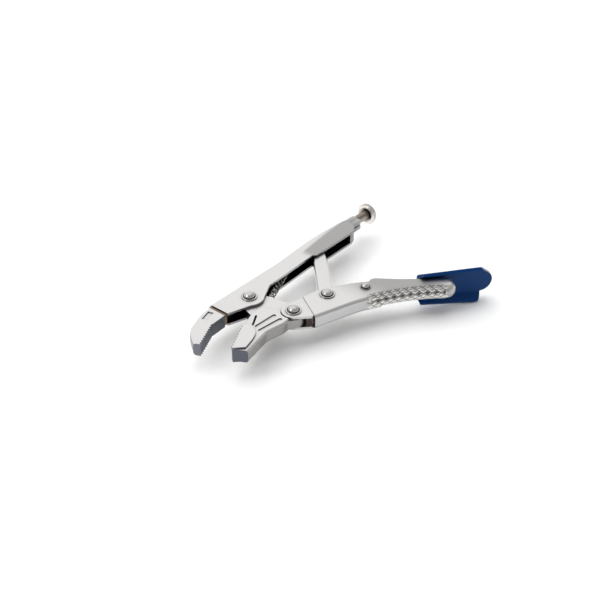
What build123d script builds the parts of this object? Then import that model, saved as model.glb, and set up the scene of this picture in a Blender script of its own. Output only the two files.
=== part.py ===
from build123d import *
import os
from math import cos, pi, radians, sin, sqrt, tan

os.makedirs("parts", exist_ok=True)

# Locking pliers of the five inch size, lying on one side with jaws and handles open.
# Origin: jaw pivot axis at the flat lower face of its rivet. +X runs along the fixed
# handle from the jaws to the adjusting knob, +Y points away from the lever, +Z is up.

# Pressed channels
sheet = 1.1
handle_gap = 4.4
lever_gap = 5.0
side_clearance = 0.1
tang_thickness = handle_gap - 2 * side_clearance
nose_thickness = 6.2
handle_width = handle_gap + 2 * sheet
lever_width = lever_gap + 2 * sheet

# Rivets
shank_radius = 1.9
pin_clearance = 0.06
ring_radius = 3.5
ring_height = 0.45
dome_radius = 2.7
dome_height = 0.95
foot_radius = 2.3
foot_height = 1.2
trigger_ring_radius = 2.4
trigger_shank_radius = 1.3
trigger_pin_clearance = 0.12

mid_height = handle_width / 2 + foot_height
mid = Plane.XY.offset(mid_height)

# Pivots
lever_x = 4.5
lever_y = -21.7
link_dx = 18.8
link_dy = -3.7
trigger_dx = 34.2
trigger_dy = -13.3
link_x = lever_x + link_dx
link_y = lever_y + link_dy
trigger_x = lever_x + trigger_dx
trigger_y = lever_y + trigger_dy

# Fixed handle
handle_front = -15.4
front_edge_y = -1.4
spine_front = 9.6
rise_start = 30.0
lobe_radius = 6.6
lobe_angle = 50.0
lobe_run = 12.5
mouth_front = -0.8
mouth_join = 0.4
front_bend = 1.8

# Rounded grip at the rear of the fixed handle, from its join to its neck
grip_start = 44.0
grip_spine = 10.6
swell_run = 10.0
swell_x = grip_start + swell_run
swell_spine = 11.4
swell_half = 3.8
swell_bend = 2.8
rear_run = 14.0
rear_x = swell_x + rear_run
rear_spine = 11.4
rear_half = 3.8
rear_bend = 3.0
neck_run = 12.0
neck_x = rear_x + neck_run
neck_half = 3.3
neck_bend = 2.6
lip_half = 3.4
mouth_rear = -1.1
mouth_dip = 2.4
mouth_run = 3.5
mouth_end = rear_x + mouth_run

# Screw barrel, rolled from the sheet, with its pinched lips below
hollow_run = 4.0
hollow_end = rear_x + hollow_run
barrel_length = 6.6
barrel_end = neck_x + barrel_length
barrel_radius = 3.1
barrel_lip = 3.9
barrel_lip_half = 2.5
screw_axis_y = 7.5
seam_width = 0.7

# Adjusting screw and knob
screw_radius = 2.3
screw_clearance = 0.08
knob_gap = 9.0
knob_face = barrel_end + knob_gap
knob_length = 2.8
knob_radius = 5.4
knob_edge = 0.5
knob_mouth_radius = 4.0
knob_cavity_depth = 1.3
knob_floor = 0.8
knurl_count = 30
knurl_depth = 0.35
knurl_half = 0.3

# Toggle link
seat_x = 56.2
seat_y = 6.8
link_thickness = 4.2
link_end_radius = 3.5
link_tip_radius = 1.9
link_taper_start = 0.62
seat_gap = 1.5

# Fixed jaw
nose_back = -17.2
fixed_tip = (-38.2, -7.6)
fixed_throat = (-25.0, -1.6)
fixed_back = [(-23.1, 7.7), (-34.4, 3.4), (-39.8, -4.6)]
fixed_back_round = 13.2
fixed_teeth = 9
tooth_depth = 0.75
jaw_round = 1.3
braze_gap = 0.2
tang_end = -8.5
panel_x = -22.0
panel_y = 4.2
panel_length = 6.0
panel_width = 2.6
panel_angle = 16.0
mark_depth = 0.45

# Moving jaw
moving_tip = (-32.1, -20.0)
moving_throat = (-17.0, -12.5)
moving_teeth = 9
inner_edge = [(-8.4, -9.2), (-2.3, -9.5)]
outer_edge = [(-4.6, -24.6), (-14.0, -22.8), (-28.9, -25.7)]
outer_edge_round = 8.6
land_front = (-14.9, -14.4)
land_edge = [(-15.9, -16.5), (-17.2, -19.1), (-21.8, -22.0), (-28.2, -23.8)]
land_rise = 0.7
jaw_boss = 5.6
root_x = -7.0
root_y = -16.5
root_radius = 4.0
cutter_x = -11.4
cutter_y = -13.4
cutter_length = 7.4
cutter_width = 0.9
cutter_angle = 30.0
cutter_depth = 1.6
slot_width = 1.7
slot_x = -8.7
slot_y = -17.3
slot_length = 12.2
slot_angle = -3.0
lower_slot_x = -9.5
lower_slot_y = -20.7
lower_slot_length = 13.2
lower_slot_angle = -7.0
ear_radius = 5.3
ear_clearance = 0.5
ear_seat_start = 125.0
ear_seat_end = 205.0

# Lever handle: plan points measured from the lever pivot
lever_top = [
    (18.0, 1.8), (25.2, -1.9), (33.1, -7.1), (38.8, -11.8), (40.6, -11.3), (42.6, -12.2), (46.7, -17.7),
    (49.5, -21.6), (55.8, -28.6), (62.4, -35.3), (64.8, -37.9), (65.7, -40.3),
]
lever_spine_front = (2.4, -10.3)
lever_spine_bend = (17.0, -15.1)
lever_spine_end = (61.4, -46.0)
lever_tail_round = 4.6
lever_fold = 1.8
lever_round = 3.2
lever_grip_share = 0.34
lever_front_lap = 2.4
lever_mouth_shift = (3.4, 5.0)
joggle_top = (10.4, 3.3)
ear_top = 78.7
ear_low = 60.0
ear_lap = 0.8
ear_foot = 1.3

# Trigger: a strip in the lever and a splayed trough beyond it, lying on the lever's lower wall
trigger_angle = -37.5
trigger_sag = 2.6
trigger_drop = 0.5
strip_width = 2.2
strip_boss = 2.6
strip_neck = 10.0
strip_rise = 16.0
nose_reach = 12.5
nose_low = -4.4
nose_high = -2.9
steel_wall = 0.7
vinyl_wall = 1.5
trough_start = 25.4
web_height = 3.65
root_half = 4.9
flare_angle = 2.6
splay_angle = 34.0
flange_run = 5.3
trough_bend = 1.5
flange_tail = 51.5
tail_run = 5.7
tongue_half = 5.6
tongue_run = 5.1
root_tail = flange_tail + tail_run
tongue_tip = root_tail + tongue_run
front_slant = 2.4

# Spring
wire_radius = 0.35
coil_radius = 1.35
coil_turns = 7
hook_run = 6.7
tab_x = 31.0
tab_y = 4.6
tab_thickness = 1.1
tab_width = 2.4
wire_sides = 5
spring_straight = 1.0
spring_lead = 3.0
spring_hole_gap = 0.1
spring_bite = 1.1
gap_samples = 800

# Spring line from the edge of the moving jaw's tang to the tab under the spine
eye_line = Vector(lever_x, lever_y, 0).normalized()
hook_point = Vector(
    -eye_line.Y * jaw_boss + eye_line.X * hook_run,
    eye_line.X * jaw_boss + eye_line.Y * hook_run,
    mid_height,
)
tab_point = Vector(tab_x, tab_y, mid_height)
pull = (tab_point - hook_point).normalized()


def rivet(x, y, grip, ring, shank, dome, foot):
    """Rivet with a ringed dome above and a flat foot below, along a vertical axis."""
    half = grip / 2
    ball = (dome**2 + dome_height**2) / (2 * dome_height)
    crown_foot = half + ring_height + dome_height - ball
    axis_plane = Plane(origin=(x, y, mid_height), x_dir=(1, 0, 0), z_dir=(0, -1, 0))
    with BuildPart() as pin:
        with BuildSketch(axis_plane):
            with BuildLine():
                lower = Polyline(
                    (0, -half - foot_height),
                    (foot, -half - foot_height),
                    (ring, -half - ring_height),
                    (ring, -half),
                    (shank, -half),
                    (shank, half),
                    (ring, half),
                    (ring, half + ring_height),
                    (dome, half + ring_height),
                )
                crown = ThreePointArc(
                    lower @ 1,
                    (dome / 2, crown_foot + sqrt(ball**2 - dome**2 / 4)),
                    (0, crown_foot + ball),
                )
                Line(crown @ 1, lower @ 0)
            make_face()
        revolve(axis=Axis((x, y, 0), (0, 0, 1)))
    return pin.part


def toothed(start, end, count, depth):
    """Zigzag of teeth from start to end, rising to the left of the line of travel."""
    run_x = (end[0] - start[0]) / count
    run_y = (end[1] - start[1]) / count
    length = sqrt(run_x**2 + run_y**2)
    rise_x = -run_y / length * depth
    rise_y = run_x / length * depth
    points = []
    for i in range(count):
        base_x = start[0] + i * run_x
        base_y = start[1] + i * run_y
        points.append((base_x, base_y))
        points.append((base_x + 0.5 * run_x - rise_x, base_y + 0.5 * run_y - rise_y))
    points.append(end)
    return points


def rim_edges(jaw, back):
    """Upper and lower edges of a jaw along the line of its back."""
    rim = []
    for edge in jaw.edges():
        middle = edge @ 0.5
        on_back = back.distance_to(Vertex(middle.X, middle.Y, 0)) < braze_gap / 2
        if on_back and abs(middle.Z - mid_height) > tang_thickness / 2:
            rim.append(edge)
    return rim


# Sections of the grip: station, spine height, half width at the lips and at the shoulder, bend
grip_sections = [
    (grip_start, grip_spine, handle_width / 2, handle_width / 2, front_bend),
    (swell_x, swell_spine, lip_half, swell_half, swell_bend),
    (rear_x, rear_spine, lip_half, rear_half, rear_bend),
    (neck_x, screw_axis_y + barrel_radius, neck_half, neck_half, neck_bend),
]
hollow_sections = grip_sections[:3] + [(hollow_end, rear_spine, lip_half, rear_half, rear_bend)]


def grip_loft(sections, inset):
    """Loft through the sections of the grip, each drawn in by an inset and deeper than the mouth."""
    low = mouth_rear - sheet - inset
    with BuildPart() as body:
        for x, spine, lip, shoulder, bend in sections:
            with BuildSketch(Plane((x, 0, mid_height), x_dir=(0, 1, 0), z_dir=(1, 0, 0))) as section:
                Polygon(
                    (low, inset - lip),
                    (low, lip - inset),
                    (spine - inset, shoulder - inset),
                    (spine - inset, inset - shoulder),
                    align=None,
                )
                fillet(section.vertices().group_by(Axis.X)[-1], bend - inset)
        loft()
    return body.part


# Fixed handle: bent channel in front, lofted grip and rolled screw barrel behind
barrel_low = screw_axis_y - barrel_lip
lobe_x = lobe_radius * cos(radians(lobe_angle))
lobe_y = -lobe_radius * sin(radians(lobe_angle))
with BuildPart() as fixed_handle:
    with BuildSketch(mid):
        with BuildLine():
            Polyline(
                (handle_front, front_edge_y),
                (handle_front, spine_front),
                (rise_start, spine_front),
                (grip_start, grip_spine),
                (grip_start, mouth_join),
                (lobe_run, mouth_front),
                (lobe_x, lobe_y),
                (-lobe_x, lobe_y),
                close=True,
            )
        make_face()
        Circle(lobe_radius)
    extrude(amount=handle_width / 2, both=True)
    bend_edges = [
        e for e in fixed_handle.edges()
        if abs(e.center().Z - mid_height) > handle_gap / 2 and e.center().Y > spine_front - sheet
    ]
    fillet(bend_edges, front_bend)
    with BuildSketch(mid):
        with BuildLine():
            Polyline(
                (handle_front - sheet, -lobe_radius - sheet),
                (handle_front - sheet, spine_front - sheet),
                (rise_start, spine_front - sheet),
                (grip_start, grip_spine - sheet),
                (grip_start, -lobe_radius - sheet),
                close=True,
            )
        make_face()
    extrude(amount=handle_gap / 2, both=True, mode=Mode.SUBTRACT)
    add(grip_loft(grip_sections, 0))
    add(grip_loft(hollow_sections, sheet), mode=Mode.SUBTRACT)
    with BuildSketch(Plane.YZ.offset(hollow_end)):
        with Locations((screw_axis_y, mid_height)):
            Circle(barrel_radius)
        with Locations((screw_axis_y - barrel_lip / 2, mid_height)):
            Rectangle(barrel_lip, 2 * barrel_lip_half)
    extrude(amount=barrel_end - hollow_end)
    with BuildSketch(mid):
        with BuildLine():
            dip = Spline(
                (grip_start, mouth_join),
                (grip_start + mouth_dip, mouth_rear),
                tangents=((1, 0), (1, 0)),
            )
            lip_line = Line(dip @ 1, (mouth_end, mouth_rear))
            rise = TangentArc(lip_line @ 1, (neck_x, barrel_low), tangent=lip_line % 1)
            Polyline(
                rise @ 1,
                (barrel_end + sheet, barrel_low),
                (barrel_end + sheet, -lobe_radius),
                (grip_start, -lobe_radius),
                dip @ 0,
            )
        make_face()
    extrude(amount=handle_width, both=True, mode=Mode.SUBTRACT)
    with BuildSketch(Plane.YZ.offset(hollow_end - sheet)):
        with Locations((screw_axis_y, mid_height)):
            Circle(screw_radius + screw_clearance)
    extrude(amount=barrel_end - hollow_end + 2 * sheet, mode=Mode.SUBTRACT)
    with BuildSketch(Plane.XZ.offset(-screw_axis_y)):
        with Locations(((neck_x + barrel_end) / 2 + sheet, mid_height)):
            Rectangle(barrel_end - neck_x, seam_width)
    extrude(amount=barrel_lip + sheet, mode=Mode.SUBTRACT)
    with BuildSketch(mid):
        Circle(shank_radius + pin_clearance)
    extrude(amount=handle_width, both=True, mode=Mode.SUBTRACT)
    with BuildSketch(mid):
        with Locations((tab_x + tab_thickness / 2, (tab_y - tab_width / 2 + spine_front - sheet / 2) / 2)):
            Rectangle(tab_thickness, spine_front - sheet / 2 - tab_y + tab_width / 2)
    extrude(amount=tab_width / 2, both=True)
    with BuildSketch(Plane(origin=tab_point, z_dir=pull)):
        Circle(wire_radius + spring_hole_gap)
    extrude(amount=2 * tab_thickness, both=True, mode=Mode.SUBTRACT)

# Fixed jaw: toothed nose ahead of the channel, tang brazed between its walls
tang_top = spine_front - sheet - braze_gap
with BuildPart() as fixed_jaw:
    with BuildSketch(mid):
        with BuildLine():
            heel = Line((nose_back, front_edge_y + braze_gap), (nose_back, spine_front - sheet))
            back = FilletPolyline(heel @ 1, *fixed_back, radius=fixed_back_round)
            teeth = Polyline(back @ 1, *toothed(fixed_tip, fixed_throat, fixed_teeth, -tooth_depth))
            Line(teeth @ 1, heel @ 0)
        make_face()
    extrude(amount=nose_thickness / 2, both=True)
    fillet(rim_edges(fixed_jaw, back), jaw_round)
    with BuildSketch(mid):
        with BuildLine():
            Polyline(
                (nose_back - sheet, braze_gap),
                (nose_back - sheet, tang_top),
                (tang_end, tang_top),
                (tang_end, braze_gap),
                close=True,
            )
        make_face()
    extrude(amount=handle_gap / 2, both=True)
    with BuildSketch(mid.offset(nose_thickness / 2), mid.offset(-nose_thickness / 2)):
        with Locations((panel_x, panel_y)):
            Rectangle(panel_length, panel_width, rotation=panel_angle)
    extrude(amount=mark_depth, both=True, mode=Mode.SUBTRACT)

# Moving jaw: toothed nose with a raised land, thinner tang with one eye on each pivot
ear_path = ear_radius + ear_clearance


def beside_ear(angle):
    """Plan point on the arc that leaves room for the lever's ear."""
    return (lever_x + ear_path * cos(radians(angle)), lever_y + ear_path * sin(radians(angle)))


with BuildPart() as moving_jaw:
    with BuildSketch(mid):
        with BuildLine():
            front = Polyline(
                *toothed(moving_tip, moving_throat, moving_teeth, -tooth_depth),
                *inner_edge,
                beside_ear(ear_seat_start),
            )
            ear_seat_middle = (ear_seat_start + ear_seat_end) / 2
            seat = ThreePointArc(front @ 1, beside_ear(ear_seat_middle), beside_ear(ear_seat_end))
            back = FilletPolyline(seat @ 1, *outer_edge, radius=outer_edge_round)
            Line(back @ 1, front @ 0)
        make_face()
    extrude(amount=nose_thickness / 2, both=True)
    fillet(rim_edges(moving_jaw, back), jaw_round)
    with BuildSketch(mid):
        with BuildLine():
            grip_line = Polyline(*toothed(moving_tip, moving_throat, moving_teeth, -tooth_depth), land_front)
            step = Spline(grip_line @ 1, *land_edge)
            Line(step @ 1, grip_line @ 0)
        make_face()
    extrude(amount=nose_thickness / 2 + land_rise, both=True)
    with BuildSketch(mid):
        Circle(jaw_boss)
        with Locations((lever_x, lever_y)):
            Circle(jaw_boss)
        with Locations((root_x, root_y)):
            Circle(root_radius)
        make_hull()
    extrude(amount=tang_thickness / 2, both=True)
    with BuildSketch(mid):
        Circle(shank_radius + pin_clearance)
        with Locations((lever_x, lever_y)):
            Circle(shank_radius + pin_clearance)
    extrude(amount=nose_thickness, both=True, mode=Mode.SUBTRACT)
    with BuildSketch(Plane(origin=hook_point, z_dir=pull)):
        Circle(wire_radius + spring_hole_gap)
    extrude(amount=spring_bite + spring_hole_gap, both=True, mode=Mode.SUBTRACT)
    with BuildSketch(mid.offset(nose_thickness / 2), mid.offset(-nose_thickness / 2)):
        with Locations((slot_x, slot_y)):
            SlotOverall(slot_length, slot_width, rotation=slot_angle)
        with Locations((lower_slot_x, lower_slot_y)):
            SlotOverall(lower_slot_length, slot_width, rotation=lower_slot_angle)
    extrude(amount=mark_depth, both=True, mode=Mode.SUBTRACT)
    with BuildSketch(mid.offset(nose_thickness / 2), mid.offset(-nose_thickness / 2)):
        with Locations((cutter_x, cutter_y)):
            SlotOverall(cutter_length, cutter_width, rotation=cutter_angle)
    extrude(amount=cutter_depth, both=True, mode=Mode.SUBTRACT)


def lever_point(offset):
    """Plan point of the lever, given from its pivot."""
    return (lever_x + offset[0], lever_y + offset[1])


# Lever handle: bent channel, sharply folded in front, rounded behind, drawn in to two ears at its pivot
with BuildPart() as lever_blank:
    with BuildSketch(mid) as lever_face:
        with BuildLine():
            straight = Line(lever_point(lever_spine_front), lever_point(lever_spine_bend))
            spine = TangentArc(straight @ 1, lever_point(lever_spine_end), tangent=straight % 1)
            top_line = [lever_point(p) for p in reversed(lever_top)]
            Polyline(spine @ 1, *top_line, lever_point(joggle_top), straight @ 0)
        make_face()
        fillet(lever_face.vertices().sort_by(Axis.Y)[0], lever_tail_round)
    extrude(amount=lever_width / 2, both=True)

grip_plane = Plane(origin=spine @ lever_grip_share + Vector(0, 0, mid_height), z_dir=spine % lever_grip_share)


def folded(blank, bend, kept):
    """The blank with its spine edges rounded, on one side of the plane where the lever's grip starts."""
    with BuildPart() as body:
        add(blank)
        fillet(body.edges().filter_by(GeomType.CIRCLE).sort_by(SortBy.LENGTH)[-2:], bend)
        split(bisect_by=grip_plane, keep=kept)
    return body.part


front_line = Vector(joggle_top[0] - lever_spine_front[0], joggle_top[1] - lever_spine_front[1]).normalized()
front_out = Vector(-front_line.Y, front_line.X)
front_low = Vector(*lever_point(lever_spine_front)) + front_line * lever_front_lap
front_high = Vector(*lever_point(joggle_top)) + front_line * sheet
with BuildPart() as lever_hollow:
    with BuildSketch(mid) as hollow_face:
        offset(lever_face.sketch, amount=-sheet)
    extrude(amount=lever_gap / 2, both=True)
    fillet(lever_hollow.edges().filter_by(GeomType.CIRCLE).sort_by(SortBy.LENGTH)[-2:], lever_round - sheet)
    with BuildSketch(mid):
        add(Pos(lever_mouth_shift[0] / 2, lever_mouth_shift[1] / 2) * hollow_face.sketch)
        add(Pos(*lever_mouth_shift) * hollow_face.sketch)
        with BuildLine():
            Polyline(
                front_low + front_out * sheet,
                front_high + front_out * sheet,
                front_high - front_out * 2 * sheet,
                front_low - front_out * 2 * sheet,
                close=True,
            )
        make_face()
    extrude(amount=lever_gap / 2, both=True)

with BuildPart() as lever_handle:
    add(folded(lever_blank.part, lever_fold, Keep.BOTTOM))
    add(folded(lever_blank.part, lever_round, Keep.TOP))
    add(lever_hollow.part, mode=Mode.SUBTRACT)
    with BuildSketch(mid.offset(handle_gap / 2), mid.offset(-handle_gap / 2 - sheet)):
        with BuildLine():
            Polyline(
                (lever_x, lever_y),
                (lever_x + ear_radius * cos(radians(ear_top)), lever_y + ear_radius * sin(radians(ear_top))),
                lever_point(joggle_top),
                lever_point((joggle_top[0] + ear_lap / 2, joggle_top[1] - ear_lap)),
                lever_point((lever_spine_front[0] + ear_lap, lever_spine_front[1] + ear_foot)),
                lever_point((lever_spine_front[0] - ear_lap / 2, lever_spine_front[1] + ear_foot)),
                (lever_x - ear_radius * cos(radians(ear_low)), lever_y - ear_radius * sin(radians(ear_low))),
                close=True,
            )
        make_face()
        with Locations((lever_x, lever_y)):
            Circle(ear_radius)
    extrude(amount=sheet)
    with BuildSketch(mid):
        with Locations((lever_x, lever_y), (link_x, link_y)):
            Circle(shank_radius + pin_clearance)
        with Locations((trigger_x, trigger_y)):
            Circle(trigger_shank_radius + pin_clearance)
    extrude(amount=lever_width, both=True, mode=Mode.SUBTRACT)

# Toggle link: bar from the lever to the seat at the screw tip
taper_x = link_x + link_taper_start * (seat_x - link_x)
taper_y = link_y + link_taper_start * (seat_y - link_y)
with BuildPart() as toggle_link:
    with BuildSketch(mid):
        with Locations((link_x, link_y)):
            Circle(link_end_radius)
        with Locations((taper_x, taper_y)):
            Circle(link_end_radius)
        with Locations((seat_x, seat_y)):
            Circle(link_tip_radius)
        make_hull()
        with Locations((link_x, link_y)):
            Circle(shank_radius + pin_clearance, mode=Mode.SUBTRACT)
    extrude(amount=link_thickness / 2, both=True)

# Release trigger: steel strip in the lever, splayed trough beyond it
tilt = radians(trigger_sag)
heading = radians(trigger_angle)
splay = radians(splay_angle)
flare = radians(flare_angle)
along = Vector(cos(heading) * cos(tilt), sin(heading) * cos(tilt), -sin(tilt))
across = Vector(-sin(heading), cos(heading), 0)
trigger_point = Vector(trigger_x, trigger_y, mid_height - trigger_drop)
side_plane = Plane(origin=trigger_point, x_dir=along, z_dir=along.cross(across))
web_plane = Plane(origin=trigger_point, x_dir=along, z_dir=across * -1)
lap = (vinyl_wall - steel_wall) / 2
corner_slope = tan((pi / 2 - splay) / 2)
upright = along.cross(across)


def trough_line(side, run, shift):
    """Half of one face of the trough's wall, shifted outward from the middle of the wall."""
    free_height = web_height - run * cos(splay) + shift * sin(splay)
    free_half = root_half + run * sin(splay) + shift * cos(splay)
    root = root_half + shift * corner_slope
    web = web_height + shift
    return [(web, -side * root_half / 2), (web, side * root), (free_height, side * free_half)]


def trough_half(side, start, wall, inset):
    """One half of the trough: web, bend and splayed flange along its own flare, cut to the outline."""
    reach = root_half + (flange_tail - trough_start) * tan(flare) + flange_run * sin(splay) + vinyl_wall / 2
    run_line = along * cos(flare) + upright * (side * sin(flare))
    with BuildPart() as half:
        with BuildSketch(Plane(trigger_point + along * trough_start, x_dir=across, z_dir=run_line)):
            with BuildLine():
                outer = FilletPolyline(
                    *trough_line(side, flange_run - inset, wall / 2), radius=trough_bend + wall / 2
                )
                inner = FilletPolyline(
                    *trough_line(side, flange_run - inset, -wall / 2), radius=trough_bend - wall / 2
                )
                Line(outer @ 0, inner @ 0)
                Line(outer @ 1, inner @ 1)
            make_face()
        extrude(amount=tongue_tip, both=True)
        with BuildSketch(web_plane):
            with BuildLine():
                middle = Line((tongue_tip - inset, 0), (start, 0))
                front = Polyline(
                    middle @ 1,
                    (start, side * root_half),
                    (start + front_slant, side * (reach - inset)),
                    (flange_tail - inset, side * (reach - inset)),
                )
                tongue_side = (root_tail - inset, side * (tongue_half - inset))
                tail = TangentArc(front @ 1, tongue_side, tangent=(1, 0))
                TangentArc(middle @ 0, tail @ 1, tangent=(0, side))
            make_face()
        extrude(amount=2 * reach, both=True, mode=Mode.INTERSECT)
    return half.part


def trough(start, wall, inset):
    """Trough of the given wall from a start station, its free edges drawn in by an inset."""
    with BuildPart() as shell:
        add(trough_half(1, start, wall, inset))
        add(trough_half(-1, start, wall, inset))
    return shell.part


web_top = web_height + steel_wall / 2
web_low = web_height - steel_wall / 2
with BuildPart() as release_trigger:
    with BuildSketch(side_plane):
        with BuildLine():
            Polyline(
                (-nose_reach, nose_low),
                (-nose_reach, nose_high),
                (0, strip_boss),
                (strip_neck, strip_boss + steel_wall),
                (strip_rise, web_top),
                (trough_start + strip_boss, web_top),
                (trough_start + strip_boss, web_low),
                (strip_rise + strip_boss, web_low),
                (strip_rise, web_low - steel_wall),
                (strip_neck - strip_boss, -strip_boss / 2),
                (0, -strip_boss),
                close=True,
            )
        make_face()
        Circle(strip_boss)
    extrude(amount=strip_width / 2, both=True)
    add(trough(trough_start + lap, steel_wall, lap))
    with BuildSketch(mid):
        with Locations((trigger_x, trigger_y)):
            Circle(trigger_shank_radius + trigger_pin_clearance)
    extrude(amount=handle_width, both=True, mode=Mode.SUBTRACT)

with BuildPart() as trigger_grip:
    add(trough(trough_start, vinyl_wall, 0))
    add(release_trigger.part, mode=Mode.SUBTRACT)

# Adjusting screw and its knob
screw_tip = seat_x + link_tip_radius + seat_gap
with BuildPart() as adjusting_screw:
    with BuildSketch(Plane.YZ.offset(screw_tip)):
        with Locations((screw_axis_y, mid_height)):
            Circle(screw_radius)
    extrude(amount=knob_face + knob_length - knob_floor - screw_tip)
    chamfer(adjusting_screw.edges().sort_by(Axis.X)[0], screw_radius / 3)

knob_bore = screw_radius + screw_clearance
knob_plane = Plane(origin=(knob_face, screw_axis_y, mid_height), x_dir=(1, 0, 0), z_dir=(0, 0, 1))
with BuildPart() as screw_knob:
    with BuildSketch(knob_plane):
        with BuildLine():
            Polyline(
                (knob_cavity_depth, knob_bore),
                (0, knob_mouth_radius),
                (0, knob_radius - knob_edge),
                (knob_edge, knob_radius),
                (knob_length - knob_edge, knob_radius),
                (knob_length, knob_radius - knob_edge),
                (knob_length, 0),
                (knob_length - knob_floor, 0),
                (knob_length - knob_floor, knob_bore),
                close=True,
            )
        make_face()
    revolve(axis=Axis((0, screw_axis_y, mid_height), (1, 0, 0)))
    with BuildSketch(Plane.YZ.offset(knob_face)):
        with Locations((screw_axis_y, mid_height)):
            with PolarLocations(knob_radius, knurl_count):
                Polygon(
                    (-knurl_depth, 0),
                    (knurl_depth, -2 * knurl_half),
                    (knurl_depth, 2 * knurl_half),
                    align=None,
                )
    extrude(amount=knob_length, mode=Mode.SUBTRACT)

# Jaw opening spring: straight ends on the axis, close coil between them
side = Vector(0, 0, 1)
lift = pull.cross(side)
coil_start = hook_point + pull * spring_lead
pitch = ((tab_point - hook_point).length - 2 * spring_lead) / coil_turns


def coil_point(turn):
    """Point and unit tangent of the coil after a number of turns."""
    angle = 2 * pi * turn
    radial = lift * cos(angle) + side * sin(angle)
    swing = side * cos(angle) - lift * sin(angle)
    tangent = pull * (pitch / (2 * pi)) + swing * coil_radius
    return coil_start + pull * (pitch * turn) + radial * coil_radius, tangent.normalized()


def biarc(start, start_tangent, end, end_tangent):
    """Two arcs that leave start and reach end along the given tangents."""
    chord = end - start
    both = start_tangent + end_tangent
    turn = 2 * (1 - start_tangent.dot(end_tangent))
    reach = (-chord.dot(both) + sqrt(chord.dot(both) ** 2 + turn * chord.dot(chord))) / turn
    first_corner = start + start_tangent * reach
    last_corner = end - end_tangent * reach
    joint = (first_corner + last_corner) * 0.5
    TangentArc(start, joint, tangent=start_tangent)
    TangentArc(joint, end, tangent=last_corner - first_corner)


stations = [coil_point(i / 2) for i in range(2 * coil_turns + 1)]
near_end = hook_point - pull * spring_bite
near_lead = hook_point + pull * spring_straight
far_lead = tab_point - pull * spring_straight
far_end = tab_point + pull * spring_bite
with BuildPart() as jaw_spring:
    with BuildLine() as wire_path:
        Line(near_end, near_lead)
        biarc(near_lead, pull, *stations[0])
        for here, after in zip(stations, stations[1:]):
            biarc(*here, *after)
        biarc(*stations[-1], far_lead, pull)
        Line(far_lead, far_end)
    with BuildSketch(Plane(origin=near_end, z_dir=pull)):
        RegularPolygon(wire_radius, wire_sides)
    sweep(path=wire_path.wires()[0])

wire_line = wire_path.wires()[0]
trail = [wire_line @ (i / gap_samples) for i in range(gap_samples + 1)]
half_turn = int(gap_samples * pi * coil_radius / wire_line.length)
least = min((a - b).length for i, a in enumerate(trail) for b in trail[i + half_turn:])
print("spring least gap to itself", round(least - 2 * wire_radius, 3))

# Rivets
jaw_rivet = rivet(0, 0, handle_width, ring_radius, shank_radius, dome_radius, foot_radius)
lever_rivet = rivet(lever_x, lever_y, handle_width, ring_radius, shank_radius, dome_radius, foot_radius)
link_rivet = rivet(link_x, link_y, lever_width, ring_radius, shank_radius, dome_radius, foot_radius)
trigger_rivet = rivet(
    trigger_x, trigger_y, lever_width, trigger_ring_radius, trigger_shank_radius,
    trigger_ring_radius - ring_height, trigger_shank_radius,
)

pieces = {
    "fixed_handle": fixed_handle.part,
    "fixed_jaw": fixed_jaw.part,
    "moving_jaw": moving_jaw.part,
    "jaw_pivot_rivet": jaw_rivet,
    "lever_handle": lever_handle.part,
    "lever_rivet": lever_rivet,
    "toggle_link": toggle_link.part,
    "link_rivet": link_rivet,
    "release_trigger": release_trigger.part,
    "trigger_grip": trigger_grip.part,
    "trigger_rivet": trigger_rivet,
    "adjusting_screw": adjusting_screw.part,
    "screw_knob": screw_knob.part,
    "jaw_spring": jaw_spring.part,
}
for name, shape in pieces.items():
    shape.label = name
    export_step(shape, "parts/" + name + ".step")
    print(name, shape.is_valid, len(shape.solids()), round(shape.volume, 1))
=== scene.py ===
"""Looks of a pair of small locking pliers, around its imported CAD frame."""
import math
import bmesh
import bpy
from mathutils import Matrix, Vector
from mathutils.bvhtree import BVHTree


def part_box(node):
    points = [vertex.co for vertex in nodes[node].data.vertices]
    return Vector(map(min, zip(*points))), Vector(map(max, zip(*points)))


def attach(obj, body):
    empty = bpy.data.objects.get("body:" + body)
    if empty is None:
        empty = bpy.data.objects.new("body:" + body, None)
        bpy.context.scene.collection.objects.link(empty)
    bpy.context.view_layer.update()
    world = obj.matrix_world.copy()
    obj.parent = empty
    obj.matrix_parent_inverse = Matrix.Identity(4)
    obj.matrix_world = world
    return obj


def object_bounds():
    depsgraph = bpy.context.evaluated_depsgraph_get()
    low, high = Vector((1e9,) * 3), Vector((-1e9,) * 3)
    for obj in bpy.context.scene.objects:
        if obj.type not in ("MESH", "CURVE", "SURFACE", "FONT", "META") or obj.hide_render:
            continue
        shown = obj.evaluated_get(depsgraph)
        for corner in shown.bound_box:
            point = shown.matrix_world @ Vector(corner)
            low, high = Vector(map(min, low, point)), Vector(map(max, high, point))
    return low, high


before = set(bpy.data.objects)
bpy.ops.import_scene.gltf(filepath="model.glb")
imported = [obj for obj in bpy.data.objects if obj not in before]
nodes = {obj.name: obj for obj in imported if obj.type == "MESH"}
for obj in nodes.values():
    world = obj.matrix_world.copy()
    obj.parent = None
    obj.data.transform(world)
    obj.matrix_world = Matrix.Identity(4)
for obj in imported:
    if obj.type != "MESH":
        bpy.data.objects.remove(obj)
cad_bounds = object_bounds()

MM = 0.001

# Metal plate: clouds in its tint and polish, a fine grain, edges that look rounded, painted shade
# darkening its creases
cloud_scale = 90.0
cloud_detail = 3.0
polish_below = 0.03
polish_above = 0.04
grain_scale = 1500.0
grain_strength = 0.012
grain_depth = 0.05 * MM
plate_rounding = 0.18 * MM
rounding_samples = 4
# Painted shade: the colour is darkened where ambient occlusion finds creases
crease_shade_samples = 8
crease_shade_reach = 2.5 * MM
crease_shade_span = (0.2, 0.95)
crease_shade_dark = 0.12
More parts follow.
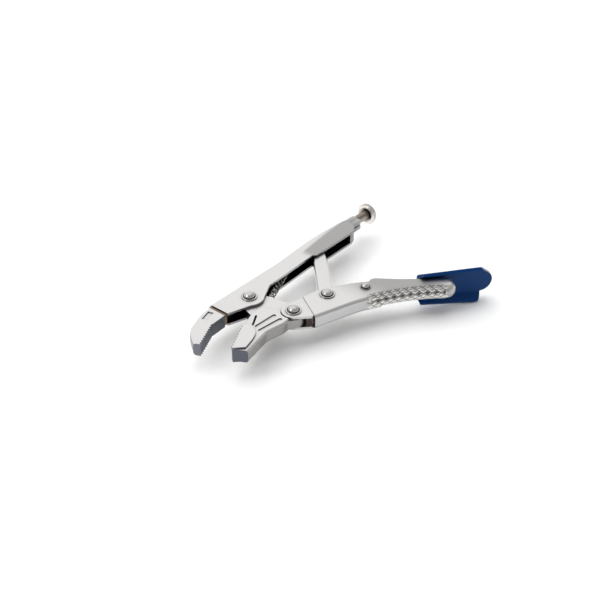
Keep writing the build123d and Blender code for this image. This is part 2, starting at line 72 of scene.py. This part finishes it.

# Metals: light tone, dark tone, roughness, reach of the painted crease shade
nickel = ((0.85, 0.84, 0.83), (0.81, 0.80, 0.79), 0.30, crease_shade_reach)
metals = {
    "nickel": nickel,
    "handle_nickel": nickel,
    "lever_nickel": nickel,
    "jaw_nickel": nickel,
    "moving_nickel": nickel,
    "knurl_metal": ((0.74, 0.73, 0.71), (0.62, 0.61, 0.59), 0.24, 0.8 * MM),
    "rivet_metal": ((0.74, 0.73, 0.72), (0.64, 0.63, 0.61), 0.13, crease_shade_reach),
    "screw_metal": ((0.42, 0.37, 0.32), (0.30, 0.26, 0.21), 0.34, crease_shade_reach),
    "wire_metal": ((0.42, 0.41, 0.40), (0.30, 0.29, 0.28), 0.34, crease_shade_reach),
    "knob_metal": ((0.90, 0.87, 0.84), (0.80, 0.76, 0.72), 0.36, 0.7 * MM),
    # nearly black metal: painted shade in the knurl's gaps and the rivets' grooves
    "painted_shade_metal": ((0.10, 0.095, 0.09), (0.05, 0.045, 0.04), 0.5, crease_shade_reach),
    "braze_metal": ((0.42, 0.33, 0.24), (0.28, 0.21, 0.15), 0.45, crease_shade_reach),
}

# Painted shade on the flanks, which are the upright faces of sheet and forged pieces, and on the end of
# the moving jaw; on the forged flanks and the jaw's end the shade is tinted blue as a painted reflection.
# The spans are of the normal: its upright part at a flank, its forward part at the jaw's end.
sheet_flank_shade = (0.62, 0.62, 0.63)
forged_flank_shade = (0.19, 0.205, 0.23)
moving_flank_shade = (0.37, 0.36, 0.36)
forged_tip_shade = (0.34, 0.38, 0.46)
flank_shade_span = (0.75, 0.35)
tip_shade_span = (-0.55, -0.8)

# Satin stretches of the two handles along X in millimetres, rougher and with painted shade in their
# colour: start, full, start of the fade, end.
# On the fixed handle a painted highlight band, where the shade is left out, stays along the outer edge and
# narrows to the rear.
satin_shade_tone = (0.70, 0.70, 0.70)
satin_rough = 0.3
handle_satin_shade = (41.0, 46.0, 80.0, 100.0)
lever_satin_shade = (26.0, 46.0, 58.0, 68.0)
highlight_band_edge = (0.3, 2.3)
highlight_band_slope = 0.1

# Dark insides, as box corners in millimetres: the fixed handle's front channel and rear hollow are black,
# partly black oxide and partly painted shade;
# the lever's lower ear and lower sheet are painted brown as shade where they show through its front
# opening
handle_hollows = (
    ((-15.3, -9.0, 2.26), (44.05, 8.56, 6.74)),
    ((44.0, -1.04, 1.72), (72.1, 10.35, 7.28)),
)
lever_hollows = (
    ((2.0, -32.0, 2.22), (11.0, -22.0, 2.38)),
    ((9.5, -29.0, 1.92), (16.0, -22.0, 2.08)),
)
black_oxide_and_shade = (0.04, 0.034, 0.036)
brown_inside_shade = (0.17, 0.125, 0.12)

# Vinyl coat of the trigger: its colour and gloss, slow waves from dipping, soft edges
vinyl_blue = (0.0, 0.036, 0.15)
vinyl_rough = 0.28
vinyl_gloss = 0.16
wave_scale = 220.0
wave_strength = 0.08
wave_depth = 0.2 * MM
vinyl_rounding = 0.6 * MM

finish_of = {
    "fixed_handle": "handle_nickel",
    "fixed_jaw": "jaw_nickel",
    "moving_jaw": "moving_nickel",
    "lever_handle": "lever_nickel",
    "toggle_link": "nickel",
    "release_trigger": "nickel",
    "screw_knob": "knob_metal",
    "jaw_pivot_rivet": "rivet_metal",
    "lever_rivet": "rivet_metal",
    "link_rivet": "rivet_metal",
    "trigger_rivet": "rivet_metal",
    "adjusting_screw": "screw_metal",
    "jaw_spring": "wire_metal",
    "trigger_grip": "vinyl",
}

# Rounded edges: width, steps, and whether the width gives way where edges are close together
edge_rounds = {
    "trigger_grip": (0.5 * MM, 3, True),
    "toggle_link": (0.9 * MM, 2, False),
    "moving_jaw": (0.16 * MM, 2, True),
    "fixed_jaw": (0.16 * MM, 2, True),
    "lever_handle": (0.16 * MM, 2, True),
    "fixed_handle": (0.16 * MM, 2, True),
}
weld_reach = 0.001 * MM
flat_angle = math.radians(1)
sharp_angle = math.radians(40)

# Knurled grip: the lever's spine in plan, the knurled share of it, its rounding and how far round it goes
spine_front = Vector((21.5, -36.8, 4.5)) * MM
spine_tail = Vector((65.9, -67.7, 4.5)) * MM
knurl_start = 0.235
knurl_end = 0.905
grip_round = 3.2 * MM
knurl_top = math.radians(74)
knurl_low = math.radians(-80)
cast_reach = 20 * MM
spine_step = 0.01

# Diamond pads of the knurl, and the row of them that has pits; shares of a pad run from middle to edge
cell_length = 3.9 * MM
cell_width = 2.4 * MM
cell_fill = 0.97
cell_overhang = cell_width / 3
row_shift = 0.9 * MM
first_row = -4
last_row = 3
pit_row = 0
pad_grid = (-1.0, -0.8, -0.5, 0.0, 0.5, 0.8, 1.0)
pad_height = 0.30 * MM
pad_slope = 0.5
pit_depth = 0.1 * MM
pit_edge = 0.7
pit_slope = 0.2

# Dark bed under the pads, painted shade in the gaps between them
bed_lift = 0.03 * MM
bed_margin = cell_length * 0.25
bed_rows = 25
bed_columns = 91

# Rivet caps: body, radius and height of the dome; the groove round the foot of a cap, painted dark as
# shade
cap_shapes = {
    "jaw_pivot_rivet": ("handle", 2.52 * MM, 1.75 * MM),
    "lever_rivet": ("lever", 2.52 * MM, 1.75 * MM),
    "link_rivet": ("lever", 2.52 * MM, 1.75 * MM),
    "trigger_rivet": ("lever", 1.85 * MM, 1.5 * MM),
}
dome_height = 0.95 * MM
cap_steps = 10
turn_sides = 40
groove_round = 0.28 * MM
groove_rise = 0.12 * MM

# Braze in the joint of fixed handle and fixed jaw: corners, and the rounding of the bead
braze_low = Vector((-17.3, -1.1, 1.75)) * MM
braze_high = Vector((-15.3, 8.6, 7.25)) * MM
braze_round = 0.5 * MM
braze_steps = 3

# Upper tail corner of the vinyl: line of the trough in plan, where the corner starts on it, its low edge
trough_run = Vector((0.7934, -0.6087, 0))
corner_start = 105.5 * MM
corner_low = 4.5 * MM
corner_weld = 0.01 * MM

# Floor
floor_size = 12.0
floor_color = (0.93, 0.93, 0.93, 1)
floor_rough = 0.9

# Camera at the photograph's angle
looking = Vector((0.6275, 0.5265, -0.5736))
target = Vector((12.4, -18.8, 7.8)) * MM
camera_distance = 0.418
camera_lens = 57
camera_sensor = 36
camera_clip = 0.01

# Lamps, each with its place from the target
broad_offset = Vector((0.12, 0.30, 0.9))
broad_power = 1.9
broad_angle = math.radians(75)
glint_offset = Vector((-0.45, 0.25, 0.5))
glint_power = 0.8
glint_size = 0.25

# Sky: the middle of its bright part and how it fades, and the height at which the white cove ends
sky_axis = Vector((0.30, 0.62, 0.72)).normalized()
sky_span = (0.45, 0.95)
sky_dim = 0.38
sky_bright = 0.95
cove_span = (0.25, 0.12)
cove_white = 0.95
white = (1, 1, 1, 1)


def set_inputs(tree, node, inputs):
    """Gives the inputs of a shader node plain values, or joins other nodes' outputs to them."""
    for key, value in inputs.items():
        if isinstance(value, bpy.types.NodeSocket):
            tree.links.new(value, node.inputs[key])
        else:
            node.inputs[key].default_value = value


def add_node(tree, kind, inputs, **settings):
    """A new shader node with its settings and inputs."""
    node = tree.nodes.new(kind)
    for key, value in settings.items():
        setattr(node, key, value)
    set_inputs(tree, node, inputs)
    return node


def coordinates(tree, kind):
    """Coordinates of a surface: Object for its place, Normal for the way it looks."""
    return add_node(tree, "ShaderNodeTexCoord", {}).outputs[kind]


def axis_of(tree, vector, axis):
    """The X, Y or Z of a vector."""
    return add_node(tree, "ShaderNodeSeparateXYZ", {"Vector": vector}).outputs[axis]


def calculated(tree, operation, *values):
    """The result of an operation on numbers."""
    inputs = dict(enumerate(values))
    return add_node(tree, "ShaderNodeMath", inputs, operation=operation).outputs["Value"]


def vector_calculated(tree, operation, *vectors):
    """The result of an operation on vectors."""
    inputs = dict(enumerate(vectors))
    return add_node(tree, "ShaderNodeVectorMath", inputs, operation=operation).outputs["Vector"]


def ranged(tree, value, span, low=0.0, high=1.0, kind="SMOOTHSTEP"):
    """Low to high as a value passes from the start to the end of a span."""
    inputs = {"Value": value, "From Min": span[0], "From Max": span[1], "To Min": low, "To Max": high}
    return add_node(tree, "ShaderNodeMapRange", inputs, interpolation_type=kind).outputs["Result"]


def mixed(tree, share, color, other, blend="MIX"):
    """A colour blended with another as far as a share goes."""
    inputs = {"Factor": share, "A": color, "B": other}
    mix = add_node(tree, "ShaderNodeMix", inputs, data_type="RGBA", blend_type=blend)
    return mix.outputs["Result"]


def new_paint(name):
    """A new material with its node tree and its shader."""
    material = bpy.data.materials.new(name)
    material.use_nodes = True
    tree = material.node_tree
    return material, tree, tree.nodes["Principled BSDF"]


def opened(material):
    """The node tree and the shader of a material."""
    tree = material.node_tree
    return tree, tree.nodes["Principled BSDF"]


def feeding(shader, name):
    """The output that now feeds an input of a shader."""
    return shader.inputs[name].links[0].from_socket


def relief(tree, texture, strength, depth, rounding):
    """Normal of a surface with edges that look rounded and a texture in relief."""
    inputs = {"Radius": rounding}
    rounded = add_node(tree, "ShaderNodeBevel", inputs, samples=rounding_samples).outputs["Normal"]
    inputs = {"Strength": strength, "Distance": depth, "Height": texture, "Normal": rounded}
    return add_node(tree, "ShaderNodeBump", inputs).outputs["Normal"]


def plated(name, light, dark, roughness, reach):
    """Metal plate: cloudy tint, uneven polish, fine grain, painted shade in creases."""
    material, tree, shader = new_paint(name)
    place = coordinates(tree, "Object")
    inputs = {"Vector": place, "Scale": cloud_scale, "Detail": cloud_detail}
    clouds = add_node(tree, "ShaderNodeTexNoise", inputs).outputs["Fac"]
    inputs = {"Vector": place, "Scale": grain_scale}
    grain = add_node(tree, "ShaderNodeTexNoise", inputs).outputs["Fac"]
    inputs = {"Distance": reach}
    open_share = add_node(tree, "ShaderNodeAmbientOcclusion", inputs, samples=crease_shade_samples).outputs["AO"]
    tint = mixed(tree, clouds, (*dark, 1), (*light, 1))
    # painted shade: the colour darkens where the occlusion finds creases
    painted_crease_shade = ranged(tree, open_share, crease_shade_span, crease_shade_dark, kind="LINEAR")
    set_inputs(tree, shader, {
        "Base Color": mixed(tree, 1.0, tint, painted_crease_shade, "MULTIPLY"),
        "Metallic": 1.0,
        "Roughness": ranged(
            tree, clouds, (0.0, 1.0), roughness - polish_below, roughness + polish_above, "LINEAR"
        ),
        "Normal": relief(tree, grain, grain_strength, grain_depth, plate_rounding),
    })
    return material


def flank_shaded(material, flank_shade):
    """Paints shade on the upright faces of a plate."""
    tree, shader = opened(material)
    rise = calculated(tree, "ABSOLUTE", axis_of(tree, coordinates(tree, "Normal"), "Z"))
    upright = ranged(tree, rise, flank_shade_span)
    color = mixed(tree, upright, feeding(shader, "Base Color"), (*flank_shade, 1), "MULTIPLY")
    set_inputs(tree, shader, {"Base Color": color})


def tip_shaded(material, tip_shade):
    """Paints shade on the faces of a jaw that look to its front."""
    tree, shader = opened(material)
    front = ranged(tree, axis_of(tree, coordinates(tree, "Normal"), "X"), tip_shade_span)
    color = mixed(tree, front, feeding(shader, "Base Color"), (*tip_shade, 1), "MULTIPLY")
    set_inputs(tree, shader, {"Base Color": color})


def in_metres(span):
    """A span given in millimetres."""
    return [end * MM for end in span]


def satin_shade_share(tree, ends, highlight_band):
    """How satin and shaded a surface is: 0 to 1 along X, less in the painted highlight band along the
    outer edge.
    """
    place = coordinates(tree, "Object")
    along = axis_of(tree, place, "X")
    begun = ranged(tree, along, in_metres(ends[:2]))
    ended = ranged(tree, along, in_metres(ends[2:]))
    share = calculated(tree, "SUBTRACT", begun, ended)
    if not highlight_band:
        return share
    # painted highlight: a band along the outer edge is kept bright
    slant = calculated(tree, "MULTIPLY_ADD", along, -highlight_band_slope, axis_of(tree, place, "Y"))
    painted_highlight = ranged(tree, slant, in_metres(highlight_band_edge))
    return calculated(tree, "MULTIPLY", share, calculated(tree, "SUBTRACT", 1.0, painted_highlight))


def satined_and_shaded(material, ends, highlight_band=False):
    """Makes a stretch of a plate duller, and darker with painted shade."""
    tree, shader = opened(material)
    share = satin_shade_share(tree, ends, highlight_band)
    roughness = feeding(shader, "Roughness")
    # painted shade: the satin share darkens the colour
    set_inputs(tree, shader, {
        "Base Color": mixed(tree, share, feeding(shader, "Base Color"), (*satin_shade_tone, 1), "MULTIPLY"),
        "Roughness": calculated(tree, "MULTIPLY_ADD", share, satin_rough, roughness),
    })


def inside_share(tree, low, high):
    """1 inside a box given by its corners in millimetres, 0 outside."""
    middle = [(a + b) / 2 * MM for a, b in zip(low, high)]
    half = [(b - a) / 2 * MM for a, b in zip(low, high)]
    away = vector_calculated(tree, "SUBTRACT", coordinates(tree, "Object"), middle)
    share = vector_calculated(tree, "DIVIDE", vector_calculated(tree, "ABSOLUTE", away), half)
    widest = calculated(tree, "MAXIMUM", axis_of(tree, share, "X"), axis_of(tree, share, "Y"))
    widest = calculated(tree, "MAXIMUM", widest, axis_of(tree, share, "Z"))
    return calculated(tree, "LESS_THAN", widest, 1.0)


def insides_painted(material, hollows, inside_tone):
    """Paints a dark colour inside the hollows of a plate: painted shade, with black oxide in the fixed
    handle.
    """
    tree, shader = opened(material)
    # painted shade, and black oxide in the fixed handle, inside each box
    for low, high in hollows:
        color = mixed(tree, inside_share(tree, low, high), feeding(shader, "Base Color"), (*inside_tone, 1))
        set_inputs(tree, shader, {"Base Color": color})


def coated(name):
    """Dipped vinyl coat with slow waves in its surface."""
    material, tree, shader = new_paint(name)
    inputs = {"Vector": coordinates(tree, "Object"), "Scale": wave_scale}
    waves = add_node(tree, "ShaderNodeTexNoise", inputs).outputs["Fac"]
    set_inputs(tree, shader, {
        "Base Color": (*vinyl_blue, 1),
        "Roughness": vinyl_rough,
        "Specular IOR Level": vinyl_gloss,
        "Normal": relief(tree, waves, wave_strength, wave_depth, vinyl_rounding),
    })
    return material


paints = {name: plated(name, *values) for name, values in metals.items()}
paints["vinyl"] = coated("vinyl")
# Painted shade on upright faces and the moving jaw's end, satin stretches with painted shade and a painted
# highlight band, and painted dark insides
flank_shaded(paints["handle_nickel"], sheet_flank_shade)
satined_and_shaded(paints["handle_nickel"], handle_satin_shade, highlight_band=True)
insides_painted(paints["handle_nickel"], handle_hollows, black_oxide_and_shade)
flank_shaded(paints["lever_nickel"], sheet_flank_shade)
satined_and_shaded(paints["lever_nickel"], lever_satin_shade)
insides_painted(paints["lever_nickel"], lever_hollows, brown_inside_shade)
flank_shaded(paints["jaw_nickel"], forged_flank_shade)
flank_shaded(paints["moving_nickel"], moving_flank_shade)
tip_shaded(paints["moving_nickel"], forged_tip_shade)

for name, finish in finish_of.items():
    nodes[name].data.materials.clear()
    nodes[name].data.materials.append(paints[finish])


def softened(node, width, steps, clamped):
    """Rounds the sharp edges of a node as seen, with modifiers only."""
    weld = node.modifiers.new("weld", "WELD")
    weld.merge_threshold = weld_reach
    flat = node.modifiers.new("flat", "DECIMATE")
    flat.decimate_type = "DISSOLVE"
    flat.angle_limit = flat_angle
    edge = node.modifiers.new("edge", "BEVEL")
    edge.width = width
    edge.segments = steps
    edge.limit_method = "ANGLE"
    edge.angle_limit = sharp_angle
    edge.use_clamp_overlap = clamped
    node.modifiers.new("shade", "WEIGHTED_NORMAL")


for name, shape in edge_rounds.items():
    softened(nodes[name], *shape)


def ridden(name, data, paint, body):
    """An object with a mesh and a paint that rides a body of the frame."""
    data.materials.append(paints[paint])
    piece = bpy.data.objects.new(name, data)
    bpy.context.scene.collection.objects.link(piece)
    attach(piece, body)
    return piece


def mesh_piece(name, points, faces, paint, body):
    """A piece from points and faces."""
    data = bpy.data.meshes.new(name)
    data.from_pydata(points, [], faces)
    return ridden(name, data, paint, body)


# The lever as seen, on which the knurl lies
lever_surface = BVHTree.FromObject(nodes["lever_handle"], bpy.context.evaluated_depsgraph_get())
spine_run = spine_tail - spine_front
spine_length = spine_run.length
outward = Vector((spine_run.y, -spine_run.x, 0)).normalized()
knurl_ends = (knurl_start * spine_length, knurl_end * spine_length)
knurl_sides = (knurl_low * grip_round, knurl_top * grip_round)


def spine_point(share):
    """Point of the spine's middle line at a share of its length."""
    start = spine_front + spine_run * share + outward * cast_reach
    return lever_surface.ray_cast(start, -outward)[0]


def skin_point(along, around, lift):
    """Point over the rounded spine: distance along it, distance around its rounding, height over it."""
    share = along / spine_length
    here = spine_point(share)
    run = (spine_point(share + spine_step) - spine_point(share - spine_step)).normalized()
    out = Vector((run.y, -run.x, 0))
    angle = around / grip_round
    ray = out * math.cos(angle) + Vector((0, 0, math.sin(angle)))
    center = here - out * grip_round
    return lever_surface.ray_cast(center + ray * cast_reach, -ray)[0] + ray * lift


def grid_faces(rows, columns, first):
    """Quads of a grid of points numbered row by row from the first one."""
    faces = []
    for row in range(rows - 1):
        for column in range(columns - 1):
            corner = first + row * columns + column
            faces.append((corner, corner + 1, corner + columns + 1, corner + columns))
    return faces


def clamp(value, low, high):
    """The value, kept between two limits."""
    return max(low, min(high, value))


def knurl_shade_bed():
    """Dark bed of painted shade on the rounded spine of the lever, in the gaps between the pads."""
    low, high = knurl_sides
    start = knurl_ends[0] + bed_margin
    end = knurl_ends[1] - bed_margin
    points = []
    for row in range(bed_rows):
        around = low + (high - low) * row / (bed_rows - 1)
        for column in range(bed_columns):
            along = start + (end - start) * column / (bed_columns - 1)
            points.append(skin_point(along, around, bed_lift))
    faces = grid_faces(bed_rows, bed_columns, 0)
    mesh_piece("knurl_shade_bed", points, faces, "painted_shade_metal", "lever")


def pad_rise(edge):
    """Height of a pad: a flat top that slopes to the edge, where edge is 1."""
    return pad_height * clamp((1 - edge) / pad_slope, 0, 1)


def pit_rise(edge):
    """Height of a pad with a pit in its middle, inside a raised rim."""
    return pad_height * (1 - edge) / pit_slope if edge > pit_edge else -pit_depth


def pad_points(along, around, rise):
    """Points of one diamond pad about its middle."""
    points = []
    for a in pad_grid:
        for b in pad_grid:
            u = (a + b) / 2 * cell_fill
            v = (a - b) / 2 * cell_fill
            points.append(skin_point(
                along + u * cell_length / 2,
                clamp(around + v * cell_width / 2, *knurl_sides),
                rise(max(abs(a), abs(b))),
            ))
    return points


def knurl_pads():
    """Diamond pads in staggered rows over the bed."""
    start, end = knurl_ends
    low, high = knurl_sides
    size = len(pad_grid)
    half_cells = int((end - start) / cell_length * 2) + 1
    points, faces = [], []
    for row in range(first_row, last_row + 1):
        around = row_shift + row * cell_width / 2
        if not low - cell_overhang < around < high + cell_overhang:
            continue
        rise = pit_rise if row == pit_row else pad_rise
        for column in range(row % 2, half_cells, 2):
            faces += grid_faces(size, size, len(points))
            points += pad_points(start + column * cell_length / 2, around, rise)
    mesh_piece("knurl_pads", points, faces, "knurl_metal", "lever")


knurl_shade_bed()
knurl_pads()


def turned(name, middle, profile, paint, body):
    """A piece made by turning a profile of (radius, height) points about an upright axis."""
    points, faces = [], []
    for radius, height in profile:
        for side in range(turn_sides):
            turn = 2 * math.pi * side / turn_sides
            points.append((middle.x + radius * math.cos(turn), middle.y + radius * math.sin(turn), height))
    for ring in range(len(profile) - 1):
        for side in range(turn_sides):
            here = ring * turn_sides + side
            after = ring * turn_sides + (side + 1) % turn_sides
            faces.append((here, after, after + turn_sides, here + turn_sides))
    piece = mesh_piece(name, points, faces, paint, body)
    piece.data.shade_smooth()


def bends(angle):
    """Angles from 0 to a given one, in the steps of a cap."""
    return [angle * step / cap_steps for step in range(cap_steps + 1)]


def cap(name, body, radius, height):
    """Rounded cap on a rivet's ring, with a groove round its foot painted dark as shade."""
    low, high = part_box(name)
    middle = (low + high) / 2
    foot = high.z - dome_height
    dome = [(radius * math.cos(bend), foot + height * math.sin(bend)) for bend in bends(math.pi / 2)]
    turned(name + "_cap", middle, dome, "rivet_metal", body)
    groove = [
        (radius + groove_round * math.cos(bend), foot + groove_rise + groove_round * math.sin(bend))
        for bend in bends(math.pi)
    ]
    turned(name + "_shade_groove", middle, groove, "painted_shade_metal", body)


for name, shape in cap_shapes.items():
    cap(name, *shape)


def braze():
    """Bead of braze that fills the joint of fixed handle and fixed jaw."""
    corners = (braze_low, braze_high)
    points = [(a.x, b.y, c.z) for a in corners for b in corners for c in corners]
    faces = [(0, 1, 3, 2), (4, 6, 7, 5), (0, 4, 5, 1), (2, 3, 7, 6), (0, 2, 6, 4), (1, 5, 7, 3)]
    piece = mesh_piece("braze_bead", points, faces, "braze_metal", "handle")
    edge = piece.modifiers.new("edge", "BEVEL")
    edge.width = braze_round
    edge.segments = braze_steps


braze()


def vinyl_corner():
    """Vinyl that rounds the step from the end of the trough's upper flange to its tongue."""
    shape = bmesh.new()
    for corner in nodes["trigger_grip"].data.vertices:
        if corner.co.dot(trough_run) > corner_start and corner.co.z > corner_low:
            shape.verts.new(corner.co)
    bmesh.ops.remove_doubles(shape, verts=shape.verts, dist=corner_weld)
    bmesh.ops.convex_hull(shape, input=shape.verts)
    loose = [corner for corner in shape.verts if not corner.link_faces]
    bmesh.ops.delete(shape, geom=loose, context="VERTS")
    data = bpy.data.meshes.new("vinyl_corner")
    shape.to_mesh(data)
    shape.free()
    data.shade_smooth()
    ridden("vinyl_corner", data, "vinyl", "trigger")


vinyl_corner()


def lay_floor():
    """Plain pale floor under the lowest point of the pliers."""
    bpy.ops.mesh.primitive_plane_add(size=floor_size, location=(0, 0, cad_bounds[0].z))
    floor = bpy.context.object
    floor.name = "floor"
    paint, tree, shader = new_paint("floor_paint")
    inputs = {"Base Color": floor_color, "Roughness": floor_rough, "Specular IOR Level": 0.0}
    set_inputs(tree, shader, inputs)
    floor.data.materials.append(paint)


def aimed(name, data, place, direction):
    """A camera or lamp at a place that looks in a direction."""
    thing = bpy.data.objects.new(name, data)
    bpy.context.scene.collection.objects.link(thing)
    thing.location = place
    thing.rotation_euler = direction.to_track_quat("-Z", "Y").to_euler()
    return thing


def set_camera():
    """The camera that sees the pliers as the photograph does."""
    data = bpy.data.cameras.new("camera")
    data.lens = camera_lens
    data.sensor_width = camera_sensor
    data.clip_start = camera_clip
    camera = aimed("camera", data, target - looking * camera_distance, looking)
    bpy.context.scene.camera = camera


def lamp(name, kind, offset, power):
    """A lamp aimed at the middle of the pliers."""
    data = bpy.data.lights.new(name, kind)
    data.energy = power
    light = aimed(name, data, target + offset, -offset)
    return light


def set_lamps():
    """A broad light that metal doesn't mirror, and a small lamp for the glints."""
    broad = lamp("broad", "SUN", broad_offset, broad_power)
    broad.data.angle = broad_angle
    broad.visible_glossy = False
    glint = lamp("glint", "AREA", glint_offset, glint_power)
    glint.data.size = glint_size


def set_sky():
    """Sky that is bright behind and above the pliers, white low all round like a cove, dimmer between."""
    world = bpy.data.worlds.new("studio")
    bpy.context.scene.world = world
    world.use_nodes = True
    tree = world.node_tree
    direction = coordinates(tree, "Generated")
    inputs = {0: direction, 1: sky_axis}
    toward = add_node(tree, "ShaderNodeVectorMath", inputs, operation="DOT_PRODUCT").outputs["Value"]
    level = ranged(tree, toward, sky_span, sky_dim, sky_bright)
    cove = ranged(tree, axis_of(tree, direction, "Z"), cove_span, high=cove_white)
    strength = calculated(tree, "MAXIMUM", level, cove)
    set_inputs(tree, tree.nodes["Background"], {"Color": white, "Strength": strength})


lay_floor()
set_camera()
set_lamps()
set_sky()
bpy.context.scene.view_settings.view_transform = "Standard"
